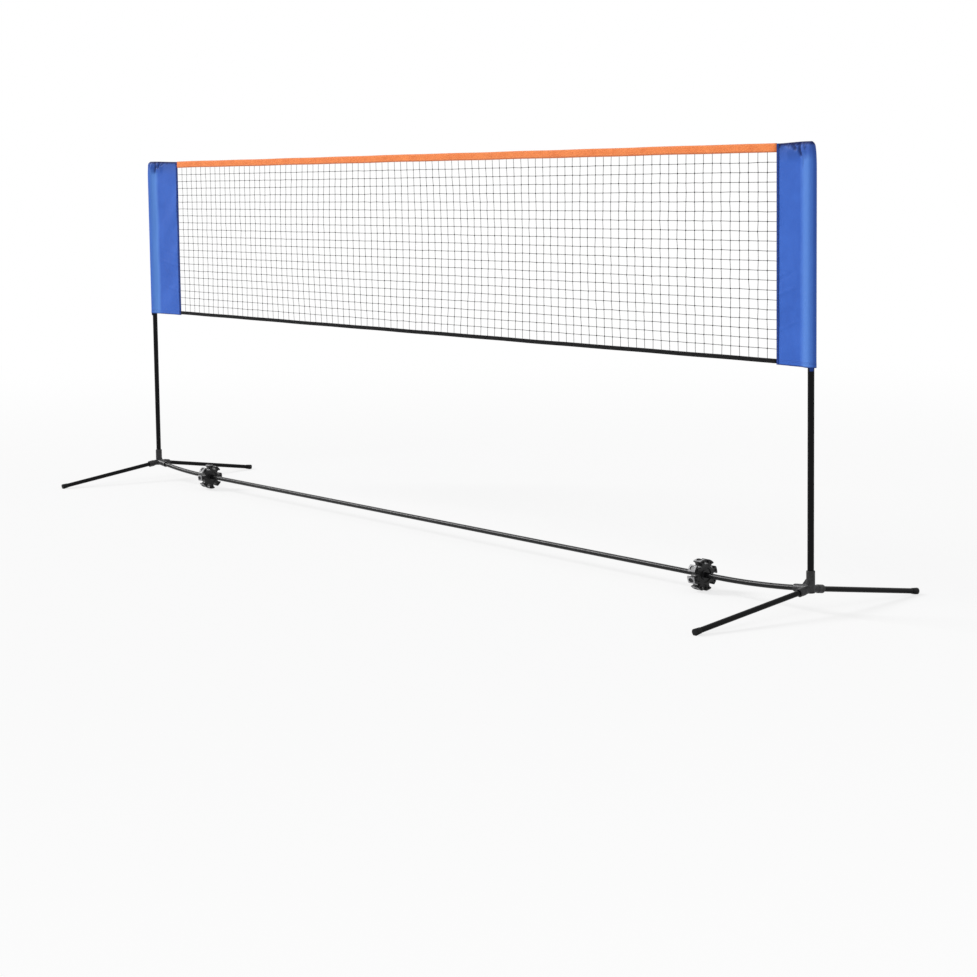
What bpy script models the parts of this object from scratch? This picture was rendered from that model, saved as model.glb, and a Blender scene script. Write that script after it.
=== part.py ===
"""Portable volleyball net on two telescopic poles that stand on a floor bar and four splayed legs.

World frame: +X runs along the net, -Y is its front, +Z is up and the floor is z = 0.
The origin lies on the floor, midway between the poles.
"""

import math

import bmesh
import bpy
from mathutils import Matrix, Vector

# ---------------------------------------------------------------- driving dimensions, in metres
GAP = 0.0003                  # clearance between pieces that touch or slide in each other
ROUND = 16                    # sides of a tube
FINE_ROUND = 24               # sides of a moulded socket

FOOT_REACH = 0.522            # pole axis to the outer end of a leg, front or rear

TUBE_WALL = 0.0010            # steel wall of every tube
LEG_RADIUS = 0.00925
BAR_RADIUS = 0.00950
LOWER_POST_RADIUS = 0.01100
TELESCOPE_CLEARANCE = 0.0004  # between an upper post and the bore of a lower post

HUB_Z = 0.0845                # where the axes of bar, legs and pole meet
HUB_CORE = 0.018              # solid middle of the hub, from that point to each socket's floor
POST_SOCKET_LENGTH = 0.060
POST_SOCKET_WALL = 0.0035
BAR_SOCKET_LENGTH = 0.072
BAR_SOCKET_WALL = 0.0040
LEG_SOCKET_LENGTH = 0.056
LEG_SOCKET_WALL = 0.0035
LEG_COLLAR_LENGTH = 0.026     # thick outer end of a leg socket
LEG_COLLAR_RISE = 0.0016
GUSSET_THICKNESS = 0.006
GUSSET_LEG = 0.022            # reach of the gusset along the bar socket and up the post socket
GUSSET_SINK = 0.004           # its outer corner lies this far below the bar socket's highest line

CAP_WALL = 0.0022             # round wall of a foot cap
CAP_END = 0.0030
CAP_LENGTH = 0.026
CAP_CHAMFER = 0.0025
CAP_FLAT_DEPTH = 0.0018       # how far the underside of a foot cap is cut flat

BAR_STRAIGHT_END = 0.003      # straight end of the bar that shows outside its socket
BEND_END = 0.440              # pole axis to where the bar has come down to its level run
OUTER_BAR_LEVEL = 0.180       # from there to the first joint of the bar
BAR_SECTION_LENGTH = 0.790    # joint to joint
BAR_SECTIONS = 4              # level sections between the two outer ones
BEND_STEPS = 6
SPIGOT_LENGTH = 0.050         # drawn-in end that plugs into the next section
SPIGOT_WALL = 0.0008

HOLDER_LENGTH = 0.035         # along the bar
HOLDER_NOTCHES = 8
HOLDER_NOTCH_PITCH = 0.0440   # bar axis to the centre of a notch
HOLDER_NOTCH_ROOM = 0.0007    # between a stored tube and the notch that it snaps into
HOLDER_LIP_GRIP = 0.0020      # how far each lip reaches over the stored tube's side
HOLDER_LIP_ROUND = 0.0028
HOLDER_THROAT = 0.00128       # straight depth of a mouth, between its round lips and its notch
HOLDER_FLOOR_GAP = 0.0040     # under the holders
HOLDER_PAST_BEND_RIGHT = 0.079  # end of the bend to the middle of the holder
HOLDER_PAST_BEND_LEFT = 0.053
HOLDER_TURN_RIGHT = 37.5      # degrees from straight down, towards the rear, to a notch
HOLDER_TURN_LEFT = 24.5

LOWER_POST_LENGTH = 0.7572
UPPER_POST_LENGTH = 0.7550
UPPER_POST_BELOW_BUTTON = 0.0495  # lower end of the upper post to its button
HEIGHT_STEP = 0.100           # between two height settings
HEIGHT_SETTINGS = 7
BUTTON_DROP = 0.030           # top of the lower post to the uppermost button hole
BUTTON_RADIUS = 0.0033
BUTTON_HOLE_CLEARANCE = 0.0004
BUTTON_PROUD = 0.0020         # how far the head stands out of the lower post
BUTTON_RIM = 0.0012           # how far the button's flange stands out round its head
BUTTON_FLANGE = 0.0010
SPRING_THICKNESS = 0.0006
SPRING_WIDTH = 0.0060
SPRING_LENGTH = 0.030
SPRING_STEPS = 6

POLE_CAP_RIM = 0.0012         # how far the cap stands out round the upper post
POLE_CAP_DOME = 0.0102
POLE_CAP_STEM = 0.016

SLEEVE_BELOW_BUTTON = 0.015   # the sleeve's open lower edge hangs this far below the button
SLEEVE_WIDTH_RIGHT = 0.156    # pole axis to the edge that the net is sewn to
SLEEVE_WIDTH_LEFT = 0.258
SLEEVE_ROOM_OUTSIDE = 0.0130  # lower post to the sleeve's outer fold
SLEEVE_ROOM_FRONT = 0.0050    # lower post to the sleeve's front and rear
SLEEVE_WALL = 0.0015
SLEEVE_TOP_CLOTH = 0.0040
SLEEVE_TAPER = 0.055          # pole axis to where the two layers of cloth meet

TAPE_HEIGHT = 0.030
TAPE_THICKNESS = 0.0040
TAPE_DROP = 0.0030            # top of the sleeves to the top of the tape
HEM_HEIGHT = 0.0110
HEM_THICKNESS = 0.0050
HEM_RISE = 0.0125             # lower edge of the sleeves to the middle of the hem
NET_COLUMNS = 30
NET_ROWS = 7
STRAND_WIDTH = 0.0030
STRAND_THICKNESS = 0.0024

# ---------------------------------------------------------------- sizes that follow
OUTER_BAR_LENGTH = BEND_END + OUTER_BAR_LEVEL
LEVEL_RUN = BAR_SECTIONS * BAR_SECTION_LENGTH
HALF_SPAN = OUTER_BAR_LENGTH + LEVEL_RUN / 2
POST_BORE = LOWER_POST_RADIUS - TUBE_WALL
UPPER_POST_RADIUS = POST_BORE - TELESCOPE_CLEARANCE
CAP_BORE = LEG_RADIUS + GAP
CAP_RADIUS = CAP_BORE + CAP_WALL
FOOT_Z = CAP_RADIUS - CAP_FLAT_DEPTH
LEG_SLOPE = math.atan2(HUB_Z - FOOT_Z, FOOT_REACH)
LEG_TRUE_LENGTH = math.hypot(HUB_Z - FOOT_Z, FOOT_REACH)

HOLDER_NOTCH_RADIUS = BAR_RADIUS + HOLDER_NOTCH_ROOM
HOLDER_HALF_MOUTH = BAR_RADIUS - HOLDER_LIP_GRIP
HOLDER_MOUTH_X = HOLDER_NOTCH_PITCH + math.sqrt(HOLDER_NOTCH_RADIUS ** 2 - HOLDER_HALF_MOUTH ** 2)
HOLDER_LIP_X = HOLDER_MOUTH_X + HOLDER_THROAT
HOLDER_LIP_Y = HOLDER_HALF_MOUTH + HOLDER_LIP_ROUND
HOLDER_RADIUS = math.hypot(HOLDER_LIP_X, HOLDER_LIP_Y) + HOLDER_LIP_ROUND

BAR_Z = HOLDER_RADIUS + HOLDER_FLOOR_GAP
BAR_STRAIGHT = BAR_SOCKET_LENGTH + BAR_STRAIGHT_END
BAR_RISE = (HUB_Z - BAR_Z) / (BAR_STRAIGHT + (BEND_END - BAR_STRAIGHT) / 2)

LOWER_POST_BOTTOM = HUB_Z + HUB_CORE + GAP
LOWER_POST_TOP = LOWER_POST_BOTTOM + LOWER_POST_LENGTH
BUTTON_Z = LOWER_POST_TOP - BUTTON_DROP
BUTTON_FLANGE_RADIUS = BUTTON_RADIUS + BUTTON_RIM
UPPER_POST_BOTTOM = BUTTON_Z - UPPER_POST_BELOW_BUTTON
UPPER_POST_TOP = UPPER_POST_BOTTOM + UPPER_POST_LENGTH
POLE_CAP_RADIUS = UPPER_POST_RADIUS + POLE_CAP_RIM

NET_TOP = UPPER_POST_TOP + POLE_CAP_DOME + GAP + SLEEVE_TOP_CLOTH
SLEEVE_OUTSIDE = LOWER_POST_RADIUS + SLEEVE_ROOM_OUTSIDE
SLEEVE_HALF_DEPTH = LOWER_POST_RADIUS + SLEEVE_ROOM_FRONT
SLEEVE_BOTTOM = BUTTON_Z - SLEEVE_BELOW_BUTTON
SLEEVE_HEIGHT = NET_TOP - SLEEVE_BOTTOM
NET_LEFT = -HALF_SPAN + SLEEVE_WIDTH_LEFT + GAP
NET_RIGHT = HALF_SPAN - SLEEVE_WIDTH_RIGHT - GAP
TAPE_TOP = NET_TOP - TAPE_DROP
HEM_Z = SLEEVE_BOTTOM + HEM_RISE

# ---------------------------------------------------------------- materials


def material(name, colour, roughness, metallic=0.0):
    made = bpy.data.materials.new(name)
    made.use_nodes = True
    shader = made.node_tree.nodes["Principled BSDF"]
    shader.inputs["Base Color"].default_value = (*colour, 1.0)
    shader.inputs["Roughness"].default_value = roughness
    shader.inputs["Metallic"].default_value = metallic
    made.diffuse_color = (*colour, 1.0)
    return made


def black_tube():
    return material("black_tube", (0.012, 0.012, 0.013), 0.38)


def dark_plastic():
    return material("dark_plastic", (0.030, 0.030, 0.032), 0.55)


def spring_steel():
    return material("spring_steel", (0.55, 0.55, 0.56), 0.30, 1.0)


def blue_cloth():
    return material("blue_cloth", (0.054, 0.150, 0.597), 0.75)


def orange_tape():
    return material("orange_tape", (0.830, 0.314, 0.150), 0.65)


def black_cord():
    return material("black_cord", (0.010, 0.010, 0.011), 0.80)


# ---------------------------------------------------------------- making objects


def place(name, bm, look, parent=None, at=(0, 0, 0), axis=None):
    """Turn a bmesh into a named object whose local +Z lies along axis."""
    bmesh.ops.recalc_face_normals(bm, faces=bm.faces)
    mesh = bpy.data.meshes.new(name)
    bm.to_mesh(mesh)
    bm.free()
    mesh.shade_smooth()
    mesh.set_sharp_from_angle(angle=math.radians(32))
    made = bpy.data.objects.new(name, mesh)
    bpy.context.scene.collection.objects.link(made)
    made.parent = parent
    made.location = at
    if axis is not None:
        made.rotation_mode = "QUATERNION"
        made.rotation_quaternion = Vector((0, 0, 1)).rotation_difference(Vector(axis))
    if look is not None:
        mesh.materials.append(look())
    return made


def empty(name, at=(0, 0, 0), turn=0.0, parent=None):
    made = bpy.data.objects.new(name, None)
    bpy.context.scene.collection.objects.link(made)
    made.parent = parent
    made.location = at
    made.rotation_euler = (0, 0, turn)
    return made


def combine(target, tool, operation):
    """Leave a Boolean on the target and hide its tool."""
    tool.hide_render = True
    tool.display_type = "WIRE"
    step = target.modifiers.new(tool.name, "BOOLEAN")
    step.operation = operation
    step.object = tool
    step.solver = "EXACT"


def turned(profile, sides, ring=False):
    """Turn (distance, radius) points about +Z; a ring profile closes on itself."""
    bm = bmesh.new()
    loops = []
    for distance, radius in profile:
        if radius == 0:
            loops.append([bm.verts.new((0, 0, distance))])
            continue
        angles = [2 * math.pi * i / sides for i in range(sides)]
        loops.append([bm.verts.new((radius * math.cos(a), radius * math.sin(a), distance)) for a in angles])
    pairs = list(zip(loops, loops[1:]))
    if ring:
        pairs.append((loops[-1], loops[0]))
    for low, high in pairs:
        for i in range(sides):
            j = (i + 1) % sides
            corners = [low[i % len(low)], low[j % len(low)], high[j % len(high)], high[i % len(high)]]
            bm.faces.new(list(dict.fromkeys(corners)))
    return bm


def rod(length, radius, sides=ROUND):
    return turned([(0, 0), (0, radius), (length, radius), (length, 0)], sides)


def pipe(length, radius, bore, sides=ROUND):
    return turned([(0, radius), (length, radius), (length, bore), (0, bore)], sides, ring=True)


def prism(outline, depth):
    """Extrude an outline in local X and Y by depth along +Z."""
    bm = bmesh.new()
    base = bm.faces.new([bm.verts.new((x, y, 0)) for x, y in outline])
    grown = bmesh.ops.extrude_face_region(bm, geom=[base])["geom"]
    moved = [item for item in grown if isinstance(item, bmesh.types.BMVert)]
    bmesh.ops.translate(bm, verts=moved, vec=(0, 0, depth))
    return bm


def block(size, centre=(0, 0, 0)):
    bm = bmesh.new()
    bmesh.ops.create_cube(bm, size=1.0)
    bmesh.ops.scale(bm, verts=bm.verts, vec=size)
    bmesh.ops.translate(bm, verts=bm.verts, vec=centre)
    return bm


# ---------------------------------------------------------------- corner fittings


def leg_axis(way):
    """Direction of a leg from the hub: way is +1 or -1 along local Y, and it slopes to the floor."""
    return Vector((0, way * math.cos(LEG_SLOPE), -math.sin(LEG_SLOPE)))


def bar_axis():
    """Direction of the bar where it leaves the hub."""
    return Vector((-1, 0, -BAR_RISE)).normalized()


def leg_socket_outline():
    outside = LEG_RADIUS + GAP + LEG_SOCKET_WALL
    collar = outside + LEG_COLLAR_RISE
    step = LEG_SOCKET_LENGTH - LEG_COLLAR_LENGTH
    return [(0, 0), (0, outside), (step, outside), (step, collar), (LEG_SOCKET_LENGTH, collar),
            (LEG_SOCKET_LENGTH, 0)]


def gusset_outline():
    """Web between the bar socket and the post socket, in local X and Z."""
    post_side = LOWER_POST_RADIUS + GAP + POST_SOCKET_WALL
    bar_top = HUB_Z + BAR_RADIUS + GAP + BAR_SOCKET_WALL
    inside = post_side / 2
    return [(-inside, HUB_Z), (-inside, bar_top + GUSSET_LEG), (-post_side, bar_top + GUSSET_LEG),
            (-post_side - GUSSET_LEG, bar_top - GUSSET_SINK), (-post_side - GUSSET_LEG, HUB_Z)]


def connector(side, corner):
    """Moulded four-way fitting: one upright socket, one for the bar and two for the legs."""
    hub = Vector((0, 0, HUB_Z))
    post_outside = LOWER_POST_RADIUS + GAP + POST_SOCKET_WALL
    foot = HUB_Z - post_outside
    body = place("connector_" + side, rod(HUB_Z + POST_SOCKET_LENGTH - foot, post_outside, FINE_ROUND),
                 dark_plastic, corner, (0, 0, foot))

    bar_outside = BAR_RADIUS + GAP + BAR_SOCKET_WALL
    combine(body, place("bar_socket_" + side, rod(BAR_SOCKET_LENGTH, bar_outside, FINE_ROUND), None,
                        corner, hub, bar_axis()), "UNION")
    for way in (1, -1):
        combine(body, place(f"leg_socket_{side}_{way}", turned(leg_socket_outline(), FINE_ROUND), None,
                            corner, hub, leg_axis(way)), "UNION")
    web = prism([(x, -z) for x, z in gusset_outline()], GUSSET_THICKNESS)
    bmesh.ops.rotate(web, verts=web.verts, matrix=Matrix.Rotation(-math.pi / 2, 3, "X"))
    combine(body, place("gusset_" + side, web, None, corner, (0, -GUSSET_THICKNESS / 2, 0)), "UNION")

    bores = [("post", LOWER_POST_RADIUS, POST_SOCKET_LENGTH, Vector((0, 0, 1))),
             ("bar", BAR_RADIUS, BAR_SOCKET_LENGTH, bar_axis()),
             ("leg_a", LEG_RADIUS, LEG_SOCKET_LENGTH, leg_axis(1)),
             ("leg_b", LEG_RADIUS, LEG_SOCKET_LENGTH, leg_axis(-1))]
    for label, radius, length, axis in bores:
        drill = rod(length, radius + GAP, ROUND)
        combine(body, place(f"bore_{label}_{side}", drill, None, corner, hub + HUB_CORE * axis, axis),
                "DIFFERENCE")
    return body


# ---------------------------------------------------------------- legs


def leg(name, corner, way):
    start = HUB_CORE + GAP
    length = LEG_TRUE_LENGTH - CAP_END - GAP - start
    place(name, pipe(length, LEG_RADIUS, LEG_RADIUS - TUBE_WALL), black_tube, corner,
          Vector((0, 0, HUB_Z)) + start * leg_axis(way), leg_axis(way))


def foot_cap(name, corner, way):
    """Cup over the end of a leg, cut flat where it stands on the floor."""
    profile = [(0, 0), (0, CAP_RADIUS - CAP_CHAMFER), (CAP_CHAMFER, CAP_RADIUS), (CAP_LENGTH, CAP_RADIUS),
               (CAP_LENGTH, CAP_BORE), (CAP_END, CAP_BORE), (CAP_END, 0)]
    end = Vector((0, way * FOOT_REACH, FOOT_Z))
    cap = place(name, turned(profile, ROUND), dark_plastic, corner, end, -leg_axis(way))
    floor = block((4 * CAP_RADIUS, 2 * CAP_LENGTH, CAP_RADIUS), (0, way * FOOT_REACH, -CAP_RADIUS / 2))
    combine(cap, place("floor_under_" + name, floor, None, corner), "DIFFERENCE")


# ---------------------------------------------------------------- floor bar


def bar_height(distance):
    """Height of the bar's axis at a distance in from the pole: straight, then easing to level."""
    if distance <= BAR_STRAIGHT:
        return HUB_Z - BAR_RISE * distance
    if distance >= BEND_END:
        return BAR_Z
    return BAR_Z + BAR_RISE * (BEND_END - distance) ** 2 / (2 * (BEND_END - BAR_STRAIGHT))


def bar_route(end):
    """Points on the outer bar's axis, in local X and Z, from its socket to its inner end."""
    start = HUB_CORE * math.cos(math.atan(BAR_RISE)) + GAP
    bend = [BAR_STRAIGHT + (BEND_END - BAR_STRAIGHT) * i / BEND_STEPS for i in range(BEND_STEPS + 1)]
    return [Vector((-d, 0, bar_height(d))) for d in [start, *bend, end]]


def ring_frames(route):
    """For each point of a route in the X-Z plane, its unit tangent and the in-plane normal."""
    frames = []
    for i, point in enumerate(route):
        before = route[max(i - 1, 0)]
        after = route[min(i + 1, len(route) - 1)]
        tangent = (after - before).normalized()
        frames.append((point, tangent.cross(Vector((0, 1, 0)))))
    return frames


def bent_pipe(route, radii):
    """Hollow tube along a route; radii holds an (outer, inner) pair for each point."""
    bm = bmesh.new()
    angles = [2 * math.pi * i / ROUND for i in range(ROUND)]
    side = Vector((0, 1, 0))

    def loop(point, normal, radius):
        return [bm.verts.new(point + radius * (math.cos(a) * side + math.sin(a) * normal)) for a in angles]

    frames = ring_frames(route)
    outer = [loop(p, n, r[0]) for (p, n), r in zip(frames, radii)]
    inner = [loop(p, n, r[1]) for (p, n), r in zip(frames, radii)]
    loops = outer + inner[::-1]
    for near, far in zip(loops, loops[1:] + loops[:1]):
        for i in range(ROUND):
            j = (i + 1) % ROUND
            bm.faces.new([near[i], near[j], far[j], far[i]])
    return bm


def outer_bar(side, corner, spigot):
    """Bent end section of the bar, with or without a spigot on its inner end."""
    full = (BAR_RADIUS, BAR_RADIUS - TUBE_WALL)
    drawn = (BAR_RADIUS - TUBE_WALL - GAP, BAR_RADIUS - TUBE_WALL - GAP - SPIGOT_WALL)
    route = bar_route(OUTER_BAR_LENGTH - GAP / 2)
    radii = [full] * len(route)
    if spigot:
        neck = route[-1].copy()
        tip = neck + Vector((-SPIGOT_LENGTH, 0, 0))
        route[-1:] = [neck + Vector((SPIGOT_WALL, 0, 0)), neck, neck + Vector((-GAP / 4, 0, 0)), tip]
        radii = [full] * (len(route) - 4) + [full, (full[0], drawn[1]), drawn, drawn]
    place("bar_outer_" + side, bent_pipe(route, radii), black_tube, corner)


def level_sections():
    """Straight sections of the bar, each plugged into the next."""
    bore = BAR_RADIUS - TUBE_WALL
    plug = bore - GAP
    for number in range(BAR_SECTIONS):
        body = BAR_SECTION_LENGTH - GAP
        profile = [(0, BAR_RADIUS), (body, BAR_RADIUS), (body, plug), (body + SPIGOT_LENGTH, plug),
                   (body + SPIGOT_LENGTH, plug - SPIGOT_WALL), (body - SPIGOT_WALL, plug - SPIGOT_WALL),
                   (body - SPIGOT_WALL, bore), (0, bore)]
        start = -LEVEL_RUN / 2 + number * BAR_SECTION_LENGTH + GAP / 2
        place(f"bar_section_{number + 1}", turned(profile, ROUND, ring=True), black_tube, None,
              (start, 0, BAR_Z), (1, 0, 0))


# ---------------------------------------------------------------- tube holders


def arc(centre, radius, first, last, steps):
    """Points on an arc from angle first to angle last, both included."""
    angles = [first + (last - first) * i / steps for i in range(steps + 1)]
    return [(centre[0] + radius * math.cos(a), centre[1] + radius * math.sin(a)) for a in angles]


def notch_outline():
    """One notch and half of each lip beside it, about the +X direction, anticlockwise."""
    outer_turn = math.atan2(HOLDER_LIP_Y, HOLDER_LIP_X)
    opening = math.atan2(HOLDER_HALF_MOUTH, HOLDER_MOUTH_X - HOLDER_NOTCH_PITCH)
    lower_lip = arc((HOLDER_LIP_X, -HOLDER_LIP_Y), HOLDER_LIP_ROUND, -outer_turn, math.pi / 2, 3)
    hollow = arc((HOLDER_NOTCH_PITCH, 0), HOLDER_NOTCH_RADIUS, -opening, opening - 2 * math.pi, 10)
    upper_lip = [(x, -y) for x, y in reversed(lower_lip)]
    return lower_lip + hollow + upper_lip


def holder_outline():
    """Eight notches round the bar, with the lobes between them rounded to the outer radius."""
    pitch = 2 * math.pi / HOLDER_NOTCHES
    notch = notch_outline()
    lobe_start = math.atan2(notch[-1][1], notch[-1][0])
    points = []
    for number in range(HOLDER_NOTCHES):
        turn = number * pitch
        cos_turn, sin_turn = math.cos(turn), math.sin(turn)
        points += [(x * cos_turn - y * sin_turn, x * sin_turn + y * cos_turn) for x, y in notch]
        points += arc((0, 0), HOLDER_RADIUS, turn + lobe_start, turn + pitch - lobe_start, 4)[1:-1]
    return points


def tube_holder(side, corner, inset, turn):
    """Round clip rack that is threaded on the bar and takes the folded tubes in its notches."""
    body = place("tube_holder_" + side, prism(holder_outline(), HOLDER_LENGTH), dark_plastic, corner,
                 (-inset - HOLDER_LENGTH / 2, 0, BAR_Z), (1, 0, 0))
    spin = Matrix.Rotation(math.radians(turn), 4, "Z")
    body.data.transform(spin)
    drill = rod(3 * HOLDER_LENGTH, BAR_RADIUS + GAP)
    combine(body, place("holder_bore_" + side, drill, None, corner,
                        (-inset - 1.5 * HOLDER_LENGTH, 0, BAR_Z), (1, 0, 0)), "DIFFERENCE")


# ---------------------------------------------------------------- poles


def lower_post(side, corner, rear):
    """Fixed tube with a row of button holes on its rear, one for each height setting."""
    body = place("lower_post_" + side, pipe(LOWER_POST_LENGTH, LOWER_POST_RADIUS, POST_BORE),
                 black_tube, corner, (0, 0, LOWER_POST_BOTTOM))
    for number in range(HEIGHT_SETTINGS):
        drill = rod(2 * LOWER_POST_RADIUS, BUTTON_RADIUS + BUTTON_HOLE_CLEARANCE, 12)
        combine(body, place(f"height_hole_{side}_{number + 1}", drill, None, corner,
                            (0, 0, BUTTON_Z - number * HEIGHT_STEP), (0, rear, 0)), "DIFFERENCE")


def upper_post(side, corner, rear):
    """Sliding tube inside the sleeve, with one hole for its spring button."""
    body = place("upper_post_" + side,
                 pipe(UPPER_POST_LENGTH, UPPER_POST_RADIUS, UPPER_POST_RADIUS - TUBE_WALL),
                 black_tube, corner, (0, 0, UPPER_POST_BOTTOM))
    drill = rod(2 * LOWER_POST_RADIUS, BUTTON_RADIUS + BUTTON_HOLE_CLEARANCE, 12)
    combine(body, place("button_hole_" + side, drill, None, corner, (0, 0, BUTTON_Z), (0, rear, 0)),
            "DIFFERENCE")


def button_seat():
    """Distance from the pole axis to the outer face of the button's flange."""
    bore = (UPPER_POST_RADIUS - TUBE_WALL) * math.cos(math.pi / ROUND)
    return math.sqrt(bore ** 2 - BUTTON_FLANGE_RADIUS ** 2) - GAP


def height_button(side, corner, rear):
    """Spring button that stands out of the uppermost hole of the lower post."""
    inner = button_seat() - BUTTON_FLANGE
    tip = LOWER_POST_RADIUS + BUTTON_PROUD
    profile = [(inner, 0), (inner, BUTTON_FLANGE_RADIUS), (inner + BUTTON_FLANGE, BUTTON_FLANGE_RADIUS),
               (inner + BUTTON_FLANGE, BUTTON_RADIUS), (tip - 0.4 * BUTTON_RADIUS, BUTTON_RADIUS),
               (tip, 0.55 * BUTTON_RADIUS), (tip, 0)]
    place("height_button_" + side, turned(profile, 12), spring_steel, corner, (0, 0, BUTTON_Z), (0, rear, 0))


def button_spring(side, corner, rear):
    """U-shaped leaf inside the upper post: one arm backs the button, the other the far wall."""
    near = button_seat() - BUTTON_FLANGE - GAP - SPRING_THICKNESS / 2
    bore = (UPPER_POST_RADIUS - TUBE_WALL) * math.cos(math.pi / ROUND)
    far = -math.sqrt(bore ** 2 - (SPRING_WIDTH / 2) ** 2) + GAP + SPRING_THICKNESS / 2
    middle = (near + far) / 2
    bend = (near - far) / 2
    top = BUTTON_Z + BUTTON_FLANGE_RADIUS
    low = top - SPRING_LENGTH
    curve = arc((middle, low), bend, 0, -math.pi, SPRING_STEPS)
    line = [(near, top), *curve, (far, top)]
    outside, inside = [], []
    for i, (y, z) in enumerate(line):
        before = line[max(i - 1, 0)]
        after = line[min(i + 1, len(line) - 1)]
        along = Vector((after[0] - before[0], after[1] - before[1])).normalized()
        half = SPRING_THICKNESS / 2
        outside.append((y - along.y * half, z + along.x * half))
        inside.append((y + along.y * half, z - along.x * half))
    strip = prism([(z, rear * y) for y, z in outside + inside[::-1]], SPRING_WIDTH)
    turn = Matrix(((0, 0, 1), (0, 1, 0), (1, 0, 0)))
    bmesh.ops.transform(strip, verts=strip.verts, matrix=turn.to_4x4())
    place("button_spring_" + side, strip, spring_steel, corner, (-SPRING_WIDTH / 2, 0, 0))


def pole_cap(side, corner):
    """Plug with a low dome that carries the sleeve's closed top."""
    stem = UPPER_POST_RADIUS - TUBE_WALL - GAP
    profile = [(-POLE_CAP_STEM, 0), (-POLE_CAP_STEM, stem), (GAP, stem), (GAP, POLE_CAP_RADIUS),
               (POLE_CAP_DOME / 2, POLE_CAP_RADIUS), (0.85 * POLE_CAP_DOME, 0.75 * POLE_CAP_RADIUS),
               (POLE_CAP_DOME, 0.35 * POLE_CAP_RADIUS), (POLE_CAP_DOME, 0)]
    place("pole_cap_" + side, turned(profile, ROUND), dark_plastic, corner, (0, 0, UPPER_POST_TOP))


# ---------------------------------------------------------------- net and sleeves


def sleeve_half_depth(x):
    """Half of the sleeve's front-to-back size at local x, outward positive."""
    if x >= 0:
        return SLEEVE_HALF_DEPTH * math.sqrt(max(0.0, 1 - (x / SLEEVE_OUTSIDE) ** 2))
    share = 0.5 + 0.5 * math.cos(math.pi * min(1.0, -x / SLEEVE_TAPER))
    return SLEEVE_WALL + (SLEEVE_HALF_DEPTH - SLEEVE_WALL) * share


def sleeve(side, corner, width):
    """Cloth tube over the upper post, closed at the top, whose flat edge carries the net."""
    bulge = [SLEEVE_OUTSIDE * math.cos(math.pi / 2 * i / 8) for i in range(9)]
    taper = [-SLEEVE_TAPER * i / 8 for i in range(1, 9)] + [-width]
    front = [(x, -sleeve_half_depth(x)) for x in bulge[1:] + taper]
    outline = [(SLEEVE_OUTSIDE, 0), *[(x, -y) for x, y in front], *front[::-1]]
    body = place("sleeve_" + side, prism(outline, SLEEVE_HEIGHT), blue_cloth, corner, (0, 0, SLEEVE_BOTTOM))
    pocket = rod(SLEEVE_HEIGHT, 1.0, 20)
    inside = (SLEEVE_OUTSIDE - SLEEVE_WALL, SLEEVE_HALF_DEPTH - SLEEVE_WALL, 1)
    bmesh.ops.scale(pocket, verts=pocket.verts, vec=inside)
    combine(body, place("pocket_" + side, pocket, None, corner, (0, 0, SLEEVE_BOTTOM - SLEEVE_TOP_CLOTH)),
            "DIFFERENCE")


def band(name, look, height, thickness, middle_z):
    """Straight strip from sleeve to sleeve."""
    centre = ((NET_LEFT + NET_RIGHT) / 2, 0, middle_z)
    place(name, block((NET_RIGHT - NET_LEFT, thickness, height)), look, None, centre)


def strand_edges(low, high, gaps):
    """Both edges of every strand between low and high, with equal gaps."""
    step = (high - low - STRAND_WIDTH) / gaps
    starts = [low + step * i for i in range(gaps + 1)]
    return [edge for start in starts for edge in (start, start + STRAND_WIDTH)]


def net_mesh(bottom, top):
    """Square mesh as one plate with its gaps left out."""
    across = strand_edges(NET_LEFT, NET_RIGHT, NET_COLUMNS)
    up = strand_edges(bottom, top, NET_ROWS)
    columns, rows = len(across) - 1, len(up) - 1
    bm = bmesh.new()
    half = STRAND_THICKNESS / 2
    front = [[bm.verts.new((x, -half, z)) for z in up] for x in across]
    back = [[bm.verts.new((x, half, z)) for z in up] for x in across]

    def solid(i, j):
        inside = 0 <= i < columns and 0 <= j < rows
        return inside and not (i % 2 and j % 2)

    def wall(a, b):
        bm.faces.new([front[a[0]][a[1]], front[b[0]][b[1]], back[b[0]][b[1]], back[a[0]][a[1]]])

    for i in range(-1, columns + 1):
        for j in range(-1, rows + 1):
            if solid(i, j):
                for layer in (front, back):
                    bm.faces.new([layer[i][j], layer[i + 1][j], layer[i + 1][j + 1], layer[i][j + 1]])
            if solid(i, j) != solid(i + 1, j):
                wall((i + 1, j), (i + 1, j + 1))
            if solid(i, j) != solid(i, j + 1):
                wall((i, j + 1), (i + 1, j + 1))
    place("net_mesh", bm, black_cord)


# ---------------------------------------------------------------- the whole net


def build_side(side, sign, holder_inset, holder_turn, sleeve_width):
    """All pieces at one pole; a corner's local +X points away from the net."""
    corner = empty("corner_" + side, (sign * HALF_SPAN, 0, 0), 0 if sign > 0 else math.pi)
    connector(side, corner)
    for way in (1, -1):
        end = "rear" if way * sign > 0 else "front"
        leg(f"leg_{side}_{end}", corner, way)
        foot_cap(f"foot_cap_{side}_{end}", corner, way)
    outer_bar(side, corner, spigot=sign < 0)
    tube_holder(side, corner, holder_inset, sign * holder_turn)
    lower_post(side, corner, sign)
    upper_post(side, corner, sign)
    height_button(side, corner, sign)
    button_spring(side, corner, sign)
    pole_cap(side, corner)
    sleeve(side, corner, sleeve_width)


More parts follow.
